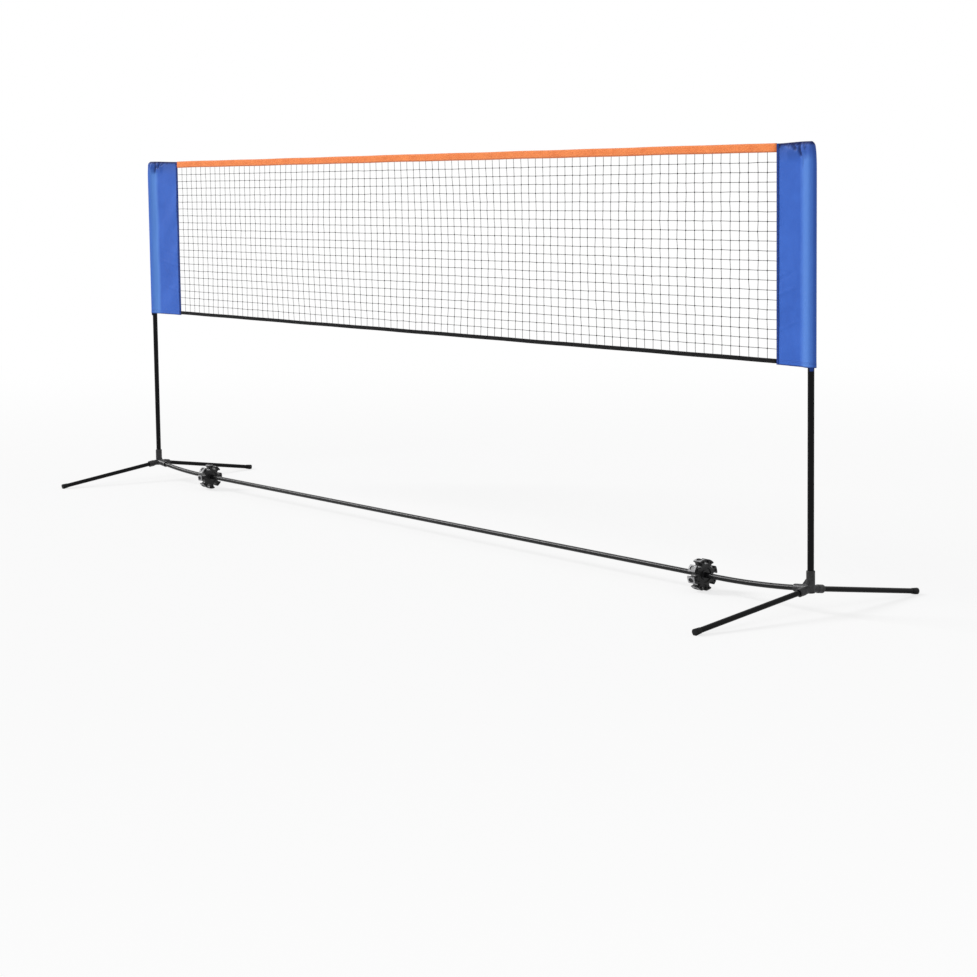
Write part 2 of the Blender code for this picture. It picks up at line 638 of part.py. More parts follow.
def build():
    for old in list(bpy.data.objects):
        bpy.data.objects.remove(old)
    build_side("right", 1, BEND_END + HOLDER_PAST_BEND_RIGHT, HOLDER_TURN_RIGHT, SLEEVE_WIDTH_RIGHT)
    build_side("left", -1, BEND_END + HOLDER_PAST_BEND_LEFT, HOLDER_TURN_LEFT, SLEEVE_WIDTH_LEFT)
    level_sections()
    band("top_tape", orange_tape, TAPE_HEIGHT, TAPE_THICKNESS, TAPE_TOP - TAPE_HEIGHT / 2)
    band("bottom_hem", black_cord, HEM_HEIGHT, HEM_THICKNESS, HEM_Z)
    net_mesh(HEM_Z + HEM_HEIGHT / 2 + GAP, TAPE_TOP - TAPE_HEIGHT - GAP)
    bpy.context.view_layer.update()


build()
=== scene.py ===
"""Portable volleyball net on two telescopic poles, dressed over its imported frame.

Frame of the CAD model: +X runs along the net, -Y is its front, +Z is up and the floor is z = 0.
"""

import math
from contextlib import contextmanager

import bmesh
import bpy
import numpy as np
from mathutils import Matrix, Vector


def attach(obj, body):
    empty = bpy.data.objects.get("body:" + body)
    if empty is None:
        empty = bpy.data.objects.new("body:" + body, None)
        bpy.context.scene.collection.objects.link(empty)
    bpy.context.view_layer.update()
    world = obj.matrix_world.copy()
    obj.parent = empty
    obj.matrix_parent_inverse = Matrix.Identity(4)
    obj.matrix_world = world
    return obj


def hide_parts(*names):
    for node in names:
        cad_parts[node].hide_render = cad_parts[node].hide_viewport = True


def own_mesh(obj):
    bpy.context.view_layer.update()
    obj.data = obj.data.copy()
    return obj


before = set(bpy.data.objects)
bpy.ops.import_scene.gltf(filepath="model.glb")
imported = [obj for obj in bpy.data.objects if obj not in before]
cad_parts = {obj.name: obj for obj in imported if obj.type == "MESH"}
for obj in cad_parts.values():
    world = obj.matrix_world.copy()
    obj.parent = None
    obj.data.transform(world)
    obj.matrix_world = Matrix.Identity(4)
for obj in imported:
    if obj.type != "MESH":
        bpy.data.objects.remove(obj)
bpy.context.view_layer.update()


# ---------------------------------------- sizes, in metres

SIDES = {"right": 1, "left": -1}
ENDS = {"front": -1, "rear": 1}

HALF_SPAN = 2.200  # middle of the net to the axis of a pole
HUB_Z = 0.0845  # where the axes of bar, legs and pole meet
HUB_CORE = 0.0183  # from there to the end of each plugged tube
TUBE_WALL = 0.0010
RIM_EASE = 0.00035
END_RING = 0.0012  # rings of points this near a tube's ends keep the eased rims out of its shading
SEAT_GAP = 0.0003  # round a tube that is plugged into a fitting

LEG_RADIUS = 0.00925
FOOT_REACH = 0.522
FOOT_Z = 0.00995
LEG_SLOPE = math.atan2(HUB_Z - FOOT_Z, FOOT_REACH)
LEG_LENGTH = math.hypot(HUB_Z - FOOT_Z, FOOT_REACH)
CAP_RADIUS = 0.01175
CAP_LENGTH = 0.026
CAP_END = 0.003
CAP_EASE = 0.0012
CAP_MOUTH = 0.875  # width of a foot cap's mouth as a share of the rest
FOOT_CUT = 0.00002  # height at which the foot caps are cut flat

BAR_RADIUS = 0.00950
BAR_Z = 0.0600
BAR_STRAIGHT = 0.075  # the bar falls straight this far in from the pole,
BEND_END = 0.440  # and is level from here on
BEND_RINGS = 19
OUTER_BAR = 0.620
BAR_RISE = (HUB_Z - BAR_Z) / (BAR_STRAIGHT + (BEND_END - BAR_STRAIGHT) / 2)
SECTION = 0.790
JOINT_GAP = 0.00015  # half of the hairline between two bar sections

LOWER_POST_RADIUS = 0.01100
LOWER_POST_TOP = 0.860
BUTTON_Z = 0.830
BUTTON_HOLES = 7
HOLE_RADIUS = 0.0037
HEIGHT_STEP = 0.100
DRILL_Y, DRILL_LENGTH = 0.012, 0.016

FITTING_GRID = 0.0009  # cell that a fitting's edges are rounded over
FITTING_PASSES = 9

HOLDER_INSET = {"right": 0.519, "left": 0.493}
HOLDER_TURN = {"right": 37.5, "left": 24.5}  # of the first notch from straight down, in degrees
HOLDER_LENGTH = 0.035
HOLDER_EASE = 0.0009
LOBES = 8
LOBE_PITCH = 0.0475  # bar's axis to the core of a lobe
LOBE_FACE = 0.0565  # bar's axis to the middle of a lobe's dimple
CORE_RADIUS, CORE_DEPTH = 0.0036, 0.008
RING_RADIUS, RING_WIDTH, RING_DEPTH = 0.0265, 0.0090, 0.007
DISH_RADIUS, DISH_DEPTH, DISH_STRETCH = 0.0082, 0.006, 1.45

NET_TOP = 1.550
SLEEVE_BOTTOM = 0.815
SLEEVE_WIDTH = {"right": 0.156, "left": 0.258}  # pole's axis to the sewn edge
SLEEVE_COLUMN = {"right": 0.0022, "left": 0.0028}  # cloth between two columns of points
SLEEVE_ROWS = 215
SLEEVE_OUTSIDE = 0.0196  # reach of the cloth past the pole's axis,
SLEEVE_DEPTH = 0.0157  # and in front of and behind it
SLEEVE_TAPER = 0.050
SLEEVE_HEM = 0.0155
CLOTH = 0.0008
SEAM_DEPTH = 0.0021  # half of the sleeve's thickness in its flat part,
SHUT_DEPTH = 0.0009  # and where its two layers are closed together
BINDING_WIDTH, BINDING_THICKNESS = 0.025, 0.0006
TAB_WIDTH, TAB_LENGTH, TAB_THICKNESS = 0.013, 0.050, 0.0008
TAB_BOTTOM = 0.8045
TAB_RADIUS = 0.0132  # of the curve that the tab takes from the pole
TAB_TURN = math.radians(52)

NET_LEFT, NET_RIGHT = -1.9417, 2.0437
NET_LENGTH = NET_RIGHT - NET_LEFT
TAPE_TOP, TAPE_BOTTOM = 1.547, 1.517
TAPE_CUT, TAPE_TURN, TAPE_THICKNESS = 0.062, 0.001, 0.0010
HEM_TOP, HEM_BOTTOM = 0.8350, 0.8200
HEM_TURN, HEM_BEAD, HEM_THICKNESS = 0.0030, 0.0021, 0.0007
BAND_COLUMNS, BAND_ROWS = 260, 22
COLUMNS, ROWS = 91, 21
PITCH_X, PITCH_Z = NET_LENGTH / COLUMNS, (TAPE_BOTTOM - HEM_TOP) / ROWS
CORD = 0.0018  # thickness of the net's cord
CORD_SIDES = 6
CORD_INTO_HEM, CORD_INTO_TAPE = 0.004, 0.006
CORD_DRAW = 0.0004  # how far a knot is pulled out of true
KNOT_RADIUS = 0.0023

WELD, SEAM_WELD = 0.00002, 0.00003  # points that are this near become one

# ---------------------------------------- modelling


def only(piece):
    """Make this piece the one that operators act on."""
    bpy.ops.object.select_all(action="DESELECT")
    piece.select_set(True)
    bpy.context.view_layer.objects.active = piece
    return piece


def primitive(kind, name, **settings):
    bpy.ops.object.select_all(action="DESELECT")
    getattr(bpy.ops.mesh, f"primitive_{kind}_add")(**settings)
    piece = bpy.context.object
    piece.name = piece.data.name = name
    return piece


@contextmanager
def editing(piece):
    only(piece)
    bpy.ops.object.mode_set(mode="EDIT")
    yield
    bpy.ops.object.mode_set(mode="OBJECT")


def pick(piece, kind, test):
    """In edit mode, select the points or faces that pass the test, and nothing else."""
    bpy.ops.mesh.select_mode(type=kind)
    bpy.ops.mesh.select_all(action="DESELECT")
    shape = bmesh.from_edit_mesh(piece.data)
    for item in {"VERT": shape.verts, "FACE": shape.faces}[kind]:
        item.select_set(bool(test(item)))
    shape.select_flush_mode()
    bmesh.update_edit_mesh(piece.data)


def slice_all(at, normal, **settings):
    """In edit mode, cut the whole piece with a plane."""
    bpy.ops.mesh.select_all(action="SELECT")
    bpy.ops.mesh.bisect(plane_co=at, plane_no=normal, **settings)


def modify(piece, kind, **settings):
    """Add a modifier and apply it."""
    step = piece.modifiers.new(kind.lower(), kind)
    for key, value in settings.items():
        setattr(step, key, value)
    only(piece)
    bpy.ops.object.modifier_apply(modifier=step.name)


def ease(piece, width, segments, sharper_than):
    """Bevel the edges that are sharper than an angle in degrees."""
    modify(piece, "BEVEL", width=width, segments=segments, limit_method="ANGLE",
           angle_limit=math.radians(sharper_than))


def repeat(piece, count, step):
    modify(piece, "ARRAY", count=count, use_relative_offset=False, use_constant_offset=True,
           constant_offset_displace=step)


def settle(piece, angle=35):
    """Put the piece's place into its mesh, and shade it smooth up to an angle in degrees."""
    only(piece)
    bpy.ops.object.transform_apply(location=True, rotation=True, scale=True)
    bpy.ops.object.shade_smooth_by_angle(angle=math.radians(angle))
    return piece


def joined(pieces, name):
    bpy.ops.object.select_all(action="DESELECT")
    for piece in pieces:
        piece.select_set(True)
    bpy.context.view_layer.objects.active = pieces[0]
    bpy.ops.object.join()
    pieces[0].name = pieces[0].data.name = name
    return pieces[0]


def carve(piece, cutter):
    """Take the cutter's shape out of the piece."""
    modify(piece, "BOOLEAN", operation="DIFFERENCE", object=cutter, solver="EXACT")
    bpy.data.objects.remove(cutter)


def along(axis):
    """Rotation that lays a primitive's own Z along an axis."""
    return Vector(axis).to_track_quat("Z", "Y").to_euler()


def dress(piece, finish, body, slot, *nodes):
    piece.data.materials.clear()
    piece.data.materials.append(finish)
    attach(piece, body)
    if nodes:
        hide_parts(*nodes)
    return piece


def points_of(piece):
    flat = np.empty(len(piece.data.vertices) * 3)
    piece.data.vertices.foreach_get("co", flat)
    return flat.reshape(-1, 3)


def move_points(piece, points):
    piece.data.vertices.foreach_set("co", np.ascontiguousarray(points, dtype=float).ravel())
    piece.data.update()


def smoothstep(x):
    x = np.clip(x, 0, 1)
    return x * x * (3 - 2 * x)


def quarter_round(x):
    """Rises from 0 at 0 to 1 at 1 as a quarter of a circle does."""
    return np.sqrt(np.clip(1 - (1 - np.clip(x, 0, 1)) ** 2, 0, 1))


# ---------------------------------------- shader maths


class Shade:
    """A socket in one material's nodes. Sums and products of shades add Math nodes."""

    def __init__(self, tree, socket=None):
        self.tree, self.socket = tree, socket

    def node(self, kind, settings=None, values=None, out=0):
        """Add a node, set it up, fill or link its sockets, and give one of its outputs."""
        made = self.tree.nodes.new(kind)
        for key, value in (settings or {}).items():
            if key == "stops":
                ramp = made.color_ramp
                while len(ramp.elements) < len(value):
                    ramp.elements.new(0.5)
                for stop, (place, colour) in zip(ramp.elements, value):
                    stop.position, stop.color = place, (*colour, 1.0)
            else:
                setattr(made, key, value)
        if isinstance(values, (list, tuple)):
            values = dict(enumerate(values))
        for key, value in (values or {}).items():
            if isinstance(value, Shade):
                self.tree.links.new(value.socket, made.inputs[key])
            else:
                made.inputs[key].default_value = value
        return Shade(self.tree, made.outputs[out])

    def maths(self, operation, *values):
        return self.node("ShaderNodeMath", {"operation": operation}, values)

    def __add__(self, other):
        return self.maths("ADD", self, other)

    def __sub__(self, other):
        return self.maths("SUBTRACT", self, other)

    def __mul__(self, other):
        return self.maths("MULTIPLY", self, other)

    def __truediv__(self, other):
        return self.maths("DIVIDE", self, other)

    def __radd__(self, other):
        return self.maths("ADD", other, self)

    def __rsub__(self, other):
        return self.maths("SUBTRACT", other, self)

    def __rmul__(self, other):
        return self.maths("MULTIPLY", other, self)

    def __rtruediv__(self, other):
        return self.maths("DIVIDE", other, self)

    def __lt__(self, other):
        return self.maths("LESS_THAN", self, other)

    def __abs__(self):
        return self.maths("ABSOLUTE", self)


def sine(shade):
    return shade.maths("SINE", shade)


class Finish:
    """A material whose surface is one Principled shader."""

    def __init__(self, name, **fixed):
        self.material = bpy.data.materials.new(name)
        self.material.use_nodes = True
        tree = self.material.node_tree
        self.shader = tree.nodes["Principled BSDF"]
        self.start = Shade(tree)
        for key, value in fixed.items():
            self.shader.inputs[key.replace("_", " ")].default_value = value

    def place(self):
        return self.start.node("ShaderNodeTexCoord", out="Object")

    def parts(self, vector, *axes):
        split = self.start.node("ShaderNodeSeparateXYZ", values={"Vector": vector})
        return [Shade(split.tree, split.socket.node.outputs[axis]) for axis in axes]

    def cut(self):
        """The two directions of the flat cut, in metres, from the piece's own map."""
        return self.parts(self.start.node("ShaderNodeTexCoord", out="UV"), "X", "Y")

    def scaled(self, vector, scale):
        return self.start.node("ShaderNodeMapping", values={"Vector": vector, "Scale": scale})

    def grain(self, vector, scale, detail, roughness=0.5):
        return self.start.node("ShaderNodeTexNoise", values={
            "Vector": vector, "Scale": scale, "Detail": detail, "Roughness": roughness})

    def ramp(self, value, *stops):
        return self.start.node("ShaderNodeValToRGB", {"stops": stops}, {"Fac": value})

    def patches(self, value, low, high):
        """0 where a grain is under low, 1 where it is over high."""
        return self.ramp(value, (low, (0, 0, 0)), (high, (1, 1, 1)))

    def over(self, value, level, soft):
        """0 where a value is under a level, 1 where it is over it, easing over soft metres."""
        return self.start.node("ShaderNodeMapRange", values={
            "Value": value, "From Min": level - soft, "From Max": level + soft})

    def under(self, value, level, soft):
        return 1 - self.over(value, level, soft)

    def within(self, value, low, high, soft):
        return self.over(value, low, soft) * self.under(value, high, soft)

    def between(self, mask, first, second):
        """First colour where the mask is 0, second where it is 1."""
        first, second = (tone if isinstance(tone, Shade) else (*tone, 1.0)
                         for tone in (first, second))
        return self.start.node("ShaderNodeMix", {"data_type": "RGBA"},
                               {0: mask, 6: first, 7: second}, out=2)

    def layered(self, tone, *layers):
        """A colour with more colours laid over it, each where its mask says."""
        for mask, colour in layers:
            tone = self.between(mask, tone, colour)
        return tone

    def weave(self, across, up, pitch):
        """Height of a plain weave: threads that pass over and under each other in turn."""
        turn = 2 * math.pi / pitch
        warp, weft = abs(sine(across * (turn / 2))), abs(sine(up * (turn / 2)))
        crossing = sine(across * (turn / 4)) * sine(up * (turn / 4))
        return warp * 0.5 + weft * 0.5 + crossing * 0.5

    def ribs(self, run, pitch):
        return sine(run * (2 * math.pi / pitch))

    def stitches(self, run, offset, line, pitch=0.0042):
        """Lockstitch: dashes along run where offset is near line."""
        half_width = 0.0005
        dash = self.start.maths("FRACT", run / pitch) < 0.72
        return dash * self.within(offset, line - half_width, line + half_width, 0.00015)

    def finish(self, colour, roughness, relief, depth, strength=0.8):
        """Feed the shader. The relief's full height is depth, in metres."""
        bump = self.start.node("ShaderNodeBump", values={
            "Height": relief, "Distance": depth, "Strength": strength})
        for socket, value in (("Base Color", colour), ("Roughness", roughness), ("Normal", bump)):
            self.start.tree.links.new(value.socket, self.shader.inputs[socket])
        return self.material


# ---------------------------------------- finishes


def powder_coat(name, gloss, rough):
    """Satin black powder coat: a fine orange peel, a little dust and the odd rub mark."""
    f = Finish(name, Specular_IOR_Level=gloss)
    place = f.place()
    peel = f.grain(place, 1100, 1.0)
    cloud = f.grain(place, 14, 3.0)
    rubs = f.grain(place, 210, 4.0, 0.7)
    worn = f.patches(rubs, 0.62, 0.74)
    tone = f.between(worn * 0.14, (0.0035, 0.0035, 0.0040), (0.060, 0.060, 0.062))
    return f.finish(tone, rough + cloud * 0.12 + worn * 0.12, peel + rubs * 0.35,
                    depth=0.00005, strength=0.5)


def moulded_plastic(name, dark, light, gloss, rough, rim=None):
    """Moulded plastic with a spark-eroded grain and scuffed high spots.

    Where a rim radius is given, a painted highlight makes it paler beyond that distance from the
    bar's axis.
    """
    f = Finish(name, Specular_IOR_Level=gloss)
    place = f.place()
    spark = f.grain(place, 1500, 2.0, 0.6)
    mottle = f.grain(place, 120, 4.0, 0.65)
    scuffs = f.patches(f.grain(place, 330, 5.0, 0.7), 0.58, 0.70)
    tone = f.ramp(mottle, (0.30, dark), (0.72, light))
    tone = f.between(scuffs * 0.20, tone, (0.13, 0.13, 0.135))
    if rim:
        middle = f.start.node("ShaderNodeVectorMath", {"operation": "SUBTRACT"},
                              [place, (0, 0, BAR_Z)])
        reach = f.start.node("ShaderNodeVectorMath", {"operation": "LENGTH"},
                             [f.scaled(middle, (0, 1, 1))], out="Value")
        # painted highlight on the lobes' rims, beyond the rim radius from the bar's axis
        rim_highlight = f.over(reach + scuffs * 0.0004, rim, 0.0005)
        pale = f.ramp(mottle, (0.34, (0.15, 0.15, 0.155)), (0.66, (0.48, 0.48, 0.49)))
        tone = f.between(rim_highlight * 0.85, tone, pale)
    return f.finish(tone, rough + mottle * 0.14, spark + mottle * 0.6,
                    depth=0.00012, strength=0.6)


def spring_steel():
    """Drawn steel with fine lines along its length."""
    f = Finish("bright_steel", Metallic=1.0)
    lines = f.grain(f.scaled(f.place(), (1.0, 1.0, 0.04)), 2600, 3.0)
    tone = f.ramp(lines, (0.25, (0.42, 0.42, 0.43)), (0.75, (0.62, 0.62, 0.63)))
    return f.finish(tone, 0.24 + lines * 0.16, lines, depth=0.00003, strength=0.5)


# Each sleeve's painted highlight over the pole: where its band lies from the pole's axis along the
# cut, and its colour.
HIGHLIGHT_BAND = {"right": (-0.034, 0.016, (0.094, 0.236, 0.640)),
             "left": (-0.060, -0.010, (0.112, 0.276, 0.700))}


def sleeve_cloth(side, girth, height, to_pole):
    """Blue woven polyester: a painted highlight makes it paler where it is taut over the pole, navy
    at its gathered top.

    The cut is girth wide and height tall, and the pole's axis lies to_pole from its sewn edges.
    """
    inner, outer, pale = HIGHLIGHT_BAND[side]
    f = Finish(f"blue_cloth_{side}", Specular_IOR_Level=0.20)
    across, up = f.cut()
    from_seam = f.start.maths("MINIMUM", across, girth - across)
    place = f.place()
    weave = f.weave(across, up, pitch=0.0011)
    threads = f.start.node("ShaderNodeCombineXYZ", values={"X": across * 0.18, "Y": up, "Z": 0.0})
    slub = f.grain(threads, 900, 3.0)
    cloud = f.grain(place, 7, 3.0)
    crumple = f.grain(place, 34, 4.0, 0.55)
    # painted shade in the cloth's folds, laid on the sleeve's points
    pinch = f.start.node("ShaderNodeAttribute", {"attribute_name": "pinch"}, out="Fac")

    # painted highlight: a paler band on the cloth over the pole, fading out under the top
    pole_highlight = f.within(from_seam + crumple * 0.006, to_pole + inner, to_pole + outer, 0.015)
    pole_highlight = pole_highlight * f.under(up + crumple * 0.04, height - 0.024, 0.016)
    shaded = f.over(up + crumple * 0.030, height - 0.016, 0.034)
    # painted shade where the cloth turns to the rear past the pole
    rear_turn_shade = f.over(from_seam, to_pole + 0.0185, 0.003)
    seam = f.under(from_seam, 0.0110, 0.0010)
    crown = f.over(up + crumple * 0.006, height - 0.0050, 0.0032)
    lower_edge = f.under(up, 0.0036, 0.0006)
    hem_fold = f.within(up, 0.0160, 0.0176, 0.0004)
    tack = f.over(up, height - 0.016, 0.0012) * f.under(from_seam, 0.018, 0.0012)
    rows = (f.stitches(across, up, 0.0125) + f.stitches(up, from_seam, 0.0140)
            + f.stitches(across, up, height - 0.0105))

    blue = f.ramp(cloud * 0.6 + crumple * 0.4,
                  (0.30, (0.026, 0.100, 0.450)), (0.70, (0.042, 0.140, 0.560)))
    blue = f.layered(blue,
                     (pole_highlight * 0.85, pale),
                     (shaded * 0.62, (0.036, 0.066, 0.215)),
                     (slub * 0.26, (0.026, 0.090, 0.420)),
                     # painted shade in the folds
                     (pinch * 0.82, (0.008, 0.024, 0.125)),
                     (rear_turn_shade * 0.45, (0.020, 0.055, 0.260)),
                     (seam * 0.60, (0.012, 0.045, 0.240)),
                     (crown * 0.92, (0.0045, 0.0090, 0.070)),
                     (lower_edge * 0.70, (0.010, 0.034, 0.190)),
                     (hem_fold * 0.50, (0.015, 0.050, 0.260)),
                     (tack * 0.85, (0.005, 0.008, 0.040)),
                     (rows * 0.75, (0.018, 0.055, 0.280)))
    return f.finish(blue, 0.50 + crumple * 0.14 + (seam + crown) * 0.12,
                    weave * 0.35 + slub * 0.25 + crumple * 1.6 + rows * 0.9, depth=0.00035)


def binding_cloth():
    """Navy binding that covers the sewn edge of a sleeve."""
    f = Finish("navy_binding", Specular_IOR_Level=0.18)
    across, up = f.cut()
    weave = f.weave(across, up, pitch=0.0012)
    pucker = f.grain(f.place(), 160, 3.0)
    row = f.stitches(up, abs(across), 0.0088, pitch=0.0036)
    tone = f.ramp(pucker, (0.30, (0.007, 0.026, 0.150)), (0.72, (0.014, 0.048, 0.240)))
    tone = f.between(row * 0.7, tone, (0.030, 0.085, 0.360))
    return f.finish(tone, 0.66 + pucker * 0.14, weave * 0.4 + pucker * 1.4 + row, depth=0.0003)


def orange_webbing():
    """Soft orange webbing: herringbone ribs, two rows of stitching, and darker along its lower
    edges.
    """
    f = Finish("orange_webbing", Specular_IOR_Level=0.22)
    across, up = f.cut()
    from_middle = abs(up)
    ribs = f.ribs(across + f.start.maths("PINGPONG", up, 0.0030) * 1.4, 0.0016)
    fine = f.weave(across, up, pitch=0.0009)
    cloud = f.grain(f.place(), 22, 3.0)
    darker_edge = f.over(from_middle, 0.0255, 0.0012)
    rows = f.stitches(across, from_middle, 0.0235) + f.stitches(across, from_middle, 0.0050)
    tone = f.ramp(cloud, (0.30, (0.840, 0.215, 0.056)), (0.70, (0.950, 0.285, 0.086)))
    tone = f.layered(tone,
                     (ribs * 0.08 + 0.08, (0.600, 0.150, 0.045)),
                     (darker_edge * 0.60, (0.500, 0.135, 0.050)),
                     (rows * 0.6, (1.0, 0.44, 0.19)))
    return f.finish(tone, 0.60 + cloud * 0.14, ribs * 0.5 + fine * 0.3 + rows * 0.9, depth=0.0003)


def black_webbing():
    """Black binding round the net's lowest cord."""
    f = Finish("black_webbing", Specular_IOR_Level=0.12)
    across, up = f.cut()
    ribs = f.ribs(across, 0.0013)
    cloud = f.grain(f.place(), 45, 3.0)
    row = f.stitches(across, abs(up), 0.0142)
    tone = f.ramp(cloud, (0.30, (0.0030, 0.0030, 0.0034)), (0.72, (0.0080, 0.0080, 0.0086)))
    tone = f.between(row * 0.7, tone, (0.026, 0.026, 0.028))
    return f.finish(tone, 0.72 + cloud * 0.14, ribs * 0.6 + row, depth=0.0003)


def twine():
    """Black twisted cord: strands that wind round it, and loose fibres."""
    f = Finish("black_twine", Specular_IOR_Level=0.2)
    place = f.place()
    x, z = f.parts(place, "X", "Z")
    strands = f.ribs(x + z * 0.9, 0.0019)
    fuzz = f.grain(place, 1800, 3.0)
    tone = f.ramp(strands * 0.25 + fuzz * 0.6 + 0.2,
                  (0.25, (0.0045, 0.0045, 0.005)), (0.80, (0.022, 0.022, 0.024)))
    return f.finish(tone, 0.74 + fuzz * 0.14, strands * 0.6 + fuzz * 0.5, depth=0.0003)


coat = powder_coat("black_powder_coat", gloss=0.10, rough=0.21)
bar_coat = powder_coat("black_bar_coat", gloss=0.17, rough=0.25)
plastic = moulded_plastic("charcoal_plastic", (0.006, 0.006, 0.0065), (0.040, 0.040, 0.042),
                          gloss=0.26, rough=0.32)
glossy = moulded_plastic("black_rack_plastic", (0.004, 0.004, 0.0045), (0.018, 0.018, 0.019),
                         gloss=0.28, rough=0.25, rim=0.0553)
rubber = moulded_plastic("black_rubber", (0.003, 0.003, 0.0034), (0.009, 0.009, 0.010),
                         gloss=0.12, rough=0.40)
steel = spring_steel()

# ---------------------------------------- tubes


def tube(name, start, end, radius, cuts=()):
    """Hollow tube with eased ends; cuts are places along it that get a ring of points."""
    start, end = Vector(start), Vector(end)
    axis, length = (end - start).normalized(), (end - start).length
    piece = primitive("cylinder", name, vertices=32, radius=radius, depth=length,
                      end_fill_type="NOTHING", location=(start + end) / 2, rotation=along(axis))
    with editing(piece):
        for distance in (END_RING, *cuts, length - END_RING):
            slice_all(start + float(distance) * axis, axis)
    modify(piece, "SOLIDIFY", thickness=TUBE_WALL, offset=-1)
    ease(piece, RIM_EASE, segments=2, sharper_than=60)
    return settle(piece)


def leg_axis(way):
    return Vector((0, way * math.cos(LEG_SLOPE), -math.sin(LEG_SLOPE)))


def legs():
    """Tubes that slope from each hub down to the floor."""
    for side, sign in SIDES.items():
        hub = Vector((sign * HALF_SPAN, 0, HUB_Z))
        for end, way in ENDS.items():
            piece = tube(f"leg_tube_{side}_{end}", hub + HUB_CORE * leg_axis(way),
                         hub + (LEG_LENGTH - CAP_END - SEAT_GAP) * leg_axis(way), LEG_RADIUS)
            dress(piece, coat, "base", "black_tube", f"leg_{side}_{end}")


def bar_height(inset):
    """Height of the bar's axis above its level run, at a distance in from the pole."""
    eased = np.clip(BEND_END - inset, 0, BEND_END - BAR_STRAIGHT)
    rise = BAR_RISE * eased ** 2 / (2 * (BEND_END - BAR_STRAIGHT))
    return rise + BAR_RISE * np.clip(BAR_STRAIGHT - inset, 0, None)


def bars():
    """Floor bar: an outer section that rises to each pole, and four level ones between them."""
    for side, sign in SIDES.items():
        near = (sign * (HALF_SPAN - HUB_CORE), 0, BAR_Z)
        far = (sign * (HALF_SPAN - OUTER_BAR + JOINT_GAP), 0, BAR_Z)
        bends = np.linspace(BAR_STRAIGHT, BEND_END, BEND_RINGS) - HUB_CORE
        piece = tube(f"bar_tube_{side}", near, far, BAR_RADIUS, bends)
        points = points_of(piece)
        points[:, 2] += bar_height(HALF_SPAN - np.abs(points[:, 0]))
        move_points(piece, points)
        dress(piece, bar_coat, "base", "black_tube", f"bar_outer_{side}")
    for number in range(4):
        start = (number - 2) * SECTION
        piece = tube(f"bar_tube_{number + 1}", (start + JOINT_GAP, 0, BAR_Z),
                     (start + SECTION - JOINT_GAP, 0, BAR_Z), BAR_RADIUS)
        dress(piece, bar_coat, "base", "black_tube", f"bar_section_{number + 1}")


def lower_posts():
    """Fixed tubes with a row of holes on the rear for the spring buttons."""
    for side, sign in SIDES.items():
        x = sign * HALF_SPAN
        piece = tube(f"post_tube_{side}", (x, 0, HUB_Z + HUB_CORE), (x, 0, LOWER_POST_TOP),
                     LOWER_POST_RADIUS)
        drills = [primitive("cylinder", "drill", vertices=20, radius=HOLE_RADIUS,
                            depth=DRILL_LENGTH, rotation=along((0, 1, 0)),
                            location=(x, DRILL_Y, BUTTON_Z - number * HEIGHT_STEP))
                  for number in range(BUTTON_HOLES)]
        carve(piece, joined(drills, "drills"))
        settle(piece)
        dress(piece, coat, "base", "black_tube", f"lower_post_{side}")


# ---------------------------------------- moulded fittings


def copy_of(node, name):
    """A merged copy of a CAD node's mesh, to shape further."""
    piece = bpy.data.objects.new(name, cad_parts[node].data.copy())
    bpy.context.scene.collection.objects.link(piece)
    piece.data.materials.clear()
    only(piece)
    bpy.ops.mesh.customdata_custom_splitnormals_clear()
    with editing(piece):
        bpy.ops.mesh.select_all(action="SELECT")
        bpy.ops.mesh.remove_doubles(threshold=WELD)
        bpy.ops.mesh.dissolve_limited(angle_limit=math.radians(0.5))
    return piece


def connectors():
    """Four-way fittings: each copy is rounded off all over, as a moulding is."""
    for side in SIDES:
        piece = copy_of(f"connector_{side}", f"corner_fitting_{side}")
        modify(piece, "REMESH", mode="VOXEL", voxel_size=FITTING_GRID)
        modify(piece, "SMOOTH", factor=0.5, iterations=FITTING_PASSES)
        settle(piece, 180)
        dress(piece, plastic, "base", "dark_plastic", f"connector_{side}")


def foot_cap(side, sign, end, way):
    """Cup over the end of a leg, narrower at its mouth and cut flat where it stands."""
    tip = Vector((sign * HALF_SPAN, way * FOOT_REACH, FOOT_Z))
    back = -leg_axis(way)
    piece = primitive("cylinder", f"foot_cup_{side}_{end}", vertices=40, radius=CAP_RADIUS,
                      depth=CAP_LENGTH, location=tip + back * CAP_LENGTH / 2, rotation=along(back))
    with editing(piece):
        towards_leg = piece.matrix_world.to_3x3().inverted() @ back
        pick(piece, "FACE", lambda f: len(f.verts) > 4 and f.normal.dot(towards_leg) > 0.9)
        bpy.ops.mesh.inset(thickness=CAP_RADIUS - LEG_RADIUS - SEAT_GAP)
        bpy.ops.mesh.extrude_region_move(
            TRANSFORM_OT_translate={"value": -back * (CAP_LENGTH - CAP_END)})
        rim = (CAP_RADIUS + LEG_RADIUS) / 2
        pick(piece, "VERT", lambda v: v.co.z > 0 and v.co.xy.length > rim)
        bpy.ops.transform.resize(value=(CAP_MOUTH, CAP_MOUTH, CAP_MOUTH),
                                 center_override=tip + back * CAP_LENGTH)
    ease(piece, CAP_EASE, segments=3, sharper_than=60)
    settle(piece)
    with editing(piece):
        slice_all((0, 0, FOOT_CUT), (0, 0, 1), clear_inner=True, use_fill=True)
    settle(piece)
    dress(piece, rubber, "base", "dark_plastic", f"foot_cap_{side}_{end}")


def lobe_turns(side):
    """Angles from straight down to the middles of a holder's lobes."""
    first = math.radians(HOLDER_TURN[side] + 180 / LOBES)
    return [first + number * 2 * math.pi / LOBES for number in range(LOBES)]


